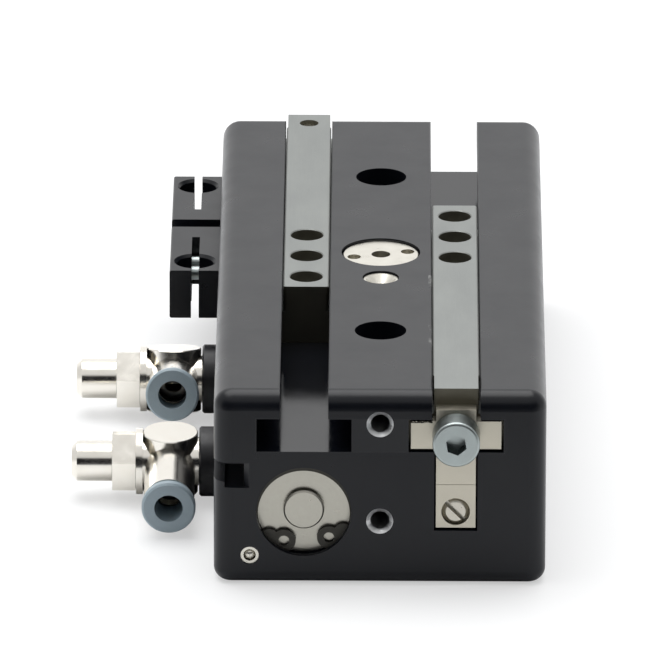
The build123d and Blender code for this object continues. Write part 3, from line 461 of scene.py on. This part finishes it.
class GRIPPER_OT_end_threads(bpy.types.Operator):
    """Line the four tapped holes in the two end faces"""

    bl_idname = "gripper.end_threads"
    bl_label = "End threads"

    def execute(self, context):
        sizes = context.scene.gripper_threads
        core = sizes.core / MM
        for end, side in (("front", -1), ("back", 1)):
            mesh = bmesh.new()
            for height in END_THREAD_HEIGHTS:
                stand = hole_frame((0.0, side * BODY_LENGTH / 2, height), (0, side, 0))
                thread_lining(mesh, stand, sizes.mouth / MM - SLEEVE_GAP, core - sizes.ridge / MM,
                              core - SLEEVE_GAP, END_THREAD_LEAD_IN, END_THREAD_DEPTH, sizes.pitch / MM)
            finished(mesh, f"end_thread_linings_{end}", made("bare_aluminium"), "housing")
        return {"FINISHED"}


class GRIPPER_OT_finger_threads(bpy.types.Operator):
    """Line the six tapped finger holes in the jaw bars"""

    bl_idname = "gripper.finger_threads"
    bl_label = "Finger threads"

    def execute(self, context):
        sizes = context.scene.gripper_threads
        core = sizes.core / MM
        for side, sign in (("right", 1), ("left", -1)):
            low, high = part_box(f"jaw_{side}")
            inner_end = high.y if side == "right" else low.y
            first = inner_end / MM - sign * FINGER_HOLE_INSET
            mesh = bmesh.new()
            for n in range(FINGER_HOLE_COUNT):
                y = first - sign * n * FINGER_HOLE_PITCH
                stand = hole_frame((sign * JAW_OFFSET, y, high.z / MM - FINGER_SLEEVE_DEPTH), (0, 0, 1))
                thread_lining(mesh, stand, core - SLEEVE_GAP, core - sizes.ridge / MM, core - SLEEVE_GAP,
                              FINGER_THREAD_LEAD_IN, FINGER_THREAD_DEPTH, sizes.pitch / MM)
            finished(mesh, f"finger_thread_linings_{side}", made("ground_hardened_steel"),
                     f"{side}_jaw")
        return {"FINISHED"}


class GRIPPER_OT_stage(bpy.types.Operator):
    """Build the floor, the studio light and the camera"""

    bl_idname = "gripper.stage"
    bl_label = "Stage"

    def execute(self, context):
        sizes = context.scene.gripper_stage
        make_floor(sizes)
        make_world(context.scene, sizes)
        make_lights(context.scene, sizes)
        make_camera(context.scene, sizes)
        context.scene.view_settings.view_transform = "Standard"
        return {"FINISHED"}


def make_floor(sizes):
    """A plain pale sheet that the gripper stands on, near its front edge."""
    mesh = bmesh.new()
    reach = sizes.floor_reach
    front = -sizes.floor_front
    corners = [(-reach, front), (reach, front), (reach, reach), (-reach, reach)]
    mesh.faces.new([mesh.verts.new((x, y, -FLOOR_SINK)) for x, y in corners])
    data = bpy.data.meshes.new("floor")
    mesh.to_mesh(data)
    mesh.free()
    floor = bpy.data.objects.new("floor", data)
    bpy.context.scene.collection.objects.link(floor)
    material, tree, shader, place = new_material("pale_paper_floor")
    cloud = grain(tree, place, (1, 1, 1), 60.0, 3.0)
    tree.links.new(mix_colour(tree, cloud, "F4F5F6", "F7F8F9"), shader.inputs["Base Color"])
    shader.inputs["Roughness"].default_value = 0.75
    shader.inputs["Specular IOR Level"].default_value = 0.25
    white = add(tree, "ShaderNodeEmission")
    white.inputs["Strength"].default_value = 1.0
    rays = add(tree, "ShaderNodeLightPath")
    share = math_node(tree, "MULTIPLY", rays.outputs["Is Camera Ray"], sizes.floor_glow)
    mixed = add(tree, "ShaderNodeMixShader", {0: share, 1: shader.outputs[0], 2: white.outputs[0]})
    output = next(node for node in tree.nodes if node.type == "OUTPUT_MATERIAL")
    tree.links.new(mixed.outputs[0], output.inputs[0])
    data.materials.append(material)


def make_world(scene, sizes):
    """White surroundings that are dark only low down on the camera's side, as in an open light tent."""
    world = bpy.data.worlds.new("light_tent")
    world.use_nodes = True
    tree = world.node_tree
    tree.nodes.clear()
    place = add(tree, "ShaderNodeTexCoord")
    parts = add(tree, "ShaderNodeSeparateXYZ", {0: place.outputs["Generated"]})
    dark_below = math.sin(math.radians(TENT_DARK_BELOW))
    white_above = math.sin(math.radians(TENT_WHITE_ABOVE))
    low = remap(tree, parts.outputs[2], dark_below, white_above, 1.0, 0.0, True)
    towards = remap(tree, parts.outputs[1], *TENT_OPENING_SPAN, 1.0, 0.0, True)
    opening = math_node(tree, "MULTIPLY", low, towards)
    behind = remap(tree, parts.outputs[1], *BACK_WALL_SPAN, 0.0, 1.0, True)
    strength = remap(tree, behind, 0.0, 1.0, sizes.sky, sizes.back_wall)
    surround = add(tree, "ShaderNodeBackground")
    tree.links.new(mix_colour(tree, opening, "FFFFFF", "1A1B1E"), surround.inputs["Color"])
    tree.links.new(strength, surround.inputs["Strength"])
    white = add(tree, "ShaderNodeBackground")
    white.inputs["Color"].default_value = (1.0, 1.0, 1.0, 1.0)
    white.inputs["Strength"].default_value = 1.0
    rays = add(tree, "ShaderNodeLightPath")
    mixed = add(tree, "ShaderNodeMixShader", {0: rays.outputs["Is Camera Ray"], 1: surround.outputs[0],
                                              2: white.outputs[0]})
    output = add(tree, "ShaderNodeOutputWorld")
    tree.links.new(mixed.outputs[0], output.inputs[0])
    scene.world = world


def make_lights(scene, sizes):
    """One large softbox overhead, a little behind."""
    light = bpy.data.lights.new("softbox", "AREA")
    light.shape = "RECTANGLE"
    light.size, light.size_y = SOFTBOX_SIZE
    light.energy = sizes.key_power
    lamp = bpy.data.objects.new("softbox", light)
    lamp.location = SOFTBOX_PLACE
    lamp.rotation_mode = "QUATERNION"
    lamp.rotation_quaternion = (-lamp.location).to_track_quat("-Z", "Y")
    scene.collection.objects.link(lamp)


def make_camera(scene, sizes):
    """A long lens from the front, about 21 degrees up, turned by its settings."""
    ahead = Vector((-math.sin(sizes.yaw) * math.cos(sizes.elevation),
                    math.cos(sizes.yaw) * math.cos(sizes.elevation), -math.sin(sizes.elevation)))
    right = Vector((math.cos(sizes.yaw), math.sin(sizes.yaw), 0.0))
    up = right.cross(ahead)
    rolled_right = math.cos(sizes.roll) * right + math.sin(sizes.roll) * up
    rolled_up = rolled_right.cross(ahead)
    data = bpy.data.cameras.new("camera")
    data.sensor_width = SENSOR_WIDTH
    data.lens = sizes.lens
    data.clip_start = CLIP_NEAR
    data.clip_end = CLIP_FAR
    data.dof.use_dof = False
    camera = bpy.data.objects.new("camera", data)
    turn = Matrix((rolled_right, rolled_up, -ahead)).transposed().to_4x4()
    camera.matrix_world = Matrix.Translation(Vector(sizes.aim) - ahead * sizes.distance) @ turn
    scene.collection.objects.link(camera)
    scene.camera = camera


class GRIPPER_PT_panel(bpy.types.Panel):
    """Buttons for the gripper's pieces"""

    bl_label = "Gripper"
    bl_idname = "GRIPPER_PT_panel"
    bl_space_type = "VIEW_3D"
    bl_region_type = "UI"
    bl_category = "Gripper"

    def draw(self, context):
        for name in ("end_threads", "finger_threads", "stage"):
            self.layout.operator(f"gripper.{name}")
        for group in (context.scene.gripper_threads, context.scene.gripper_stage):
            for key in group.bl_rna.properties.keys():
                if key not in ("rna_type", "name"):
                    self.layout.prop(group, key)


CLASSES = (
    GripperThreadSettings,
    GripperStageSettings,
    GRIPPER_OT_end_threads,
    GRIPPER_OT_finger_threads,
    GRIPPER_OT_stage,
    GRIPPER_PT_panel,
)


def register():
    """Register the classes and hang the settings on the scene."""
    for cls in CLASSES:
        bpy.utils.register_class(cls)
    bpy.types.Scene.gripper_threads = bpy.props.PointerProperty(type=GripperThreadSettings)
    bpy.types.Scene.gripper_stage = bpy.props.PointerProperty(type=GripperStageSettings)


def unregister():
    """Take the settings and the classes away again."""
    del bpy.types.Scene.gripper_stage
    del bpy.types.Scene.gripper_threads
    for cls in reversed(CLASSES):
        bpy.utils.unregister_class(cls)


def dress_cad():
    """Give each CAD piece the finish of its slot, or its own."""
    by_slot, by_node = make_materials()
    slot_of = {part["node"]: part["material_slot"] for part in frame["record"]["subparts"]}
    for node, piece in frame["nodes"].items():
        finish = by_node.get(node) or by_slot[slot_of[node]]
        for slot in piece.material_slots:
            slot.material = finish


def main():
    """Build everything that the picture shows."""
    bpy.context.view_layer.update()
    register()
    dress_cad()
    bpy.ops.gripper.end_threads()
    bpy.ops.gripper.finger_threads()
    bpy.ops.gripper.stage()


if __name__ == "__main__":
    main()
